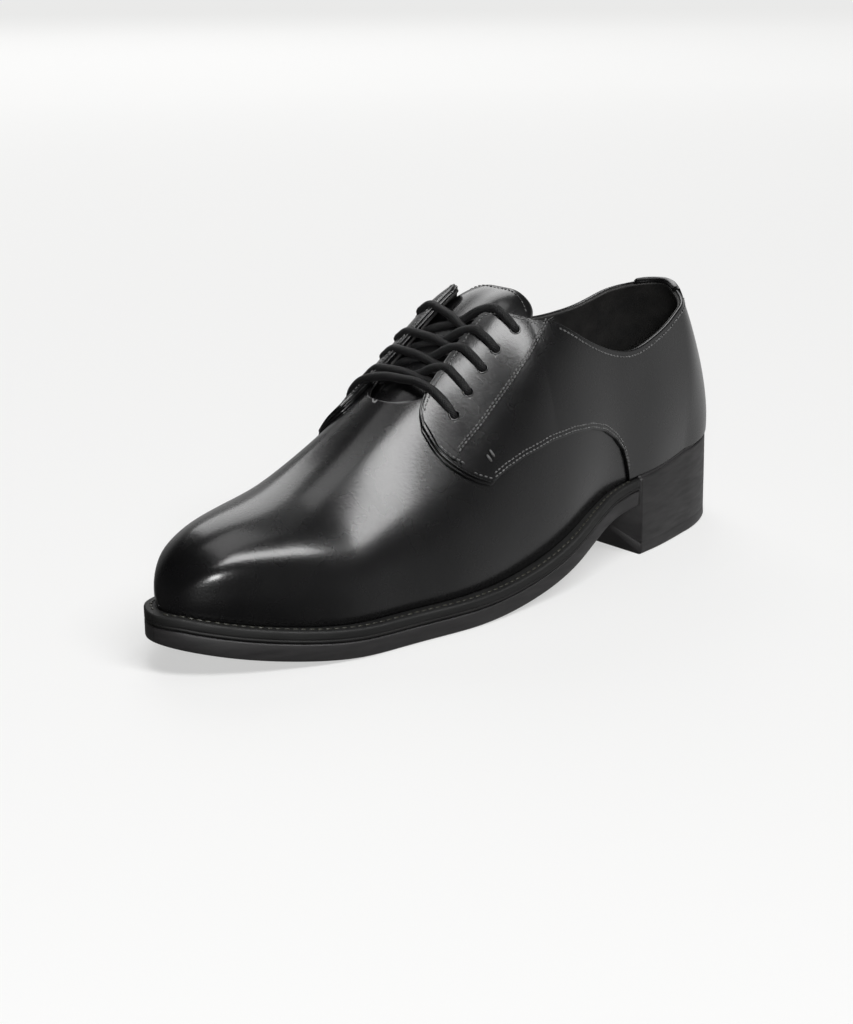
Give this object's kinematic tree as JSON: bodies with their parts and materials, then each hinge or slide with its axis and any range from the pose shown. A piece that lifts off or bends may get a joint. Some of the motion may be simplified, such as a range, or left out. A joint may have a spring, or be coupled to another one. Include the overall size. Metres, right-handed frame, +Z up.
{
  "type": "derby shoe",
  "caption": "low lace-up derby shoe with a plain toe, open-laced quarters over a tongue, crossed round laces, a stitched welt, a thick grooved sole and a block heel",
  "frame": {"origin": "on the floor under the middle of the shoe", "axes": "+Z up, +Y toward the heel, +X toward the outer (lateral) side of this left shoe"},
  "size_m": [0.0947, 0.2923, 0.1186],
  "materials": {
    "leather_black": "glossy",
    "rubber_sole": "satin",
    "leather_welt": "satin",
    "leather_lining": "matte",
    "cotton_lace": "satin"
  },
  "bodies": {
    "root": {"outsole": "rubber_sole", "welt": "leather_welt", "heel": "rubber_sole", "insole": "leather_lining", "upper": "leather_black", "tongue": "leather_black", "lace_bar": "cotton_lace", "lace_cross_1": "cotton_lace", "lace_cross_2": "cotton_lace", "lace_cross_3": "cotton_lace", "lace_cross_4": "cotton_lace"}
  },
  "joints": []
}
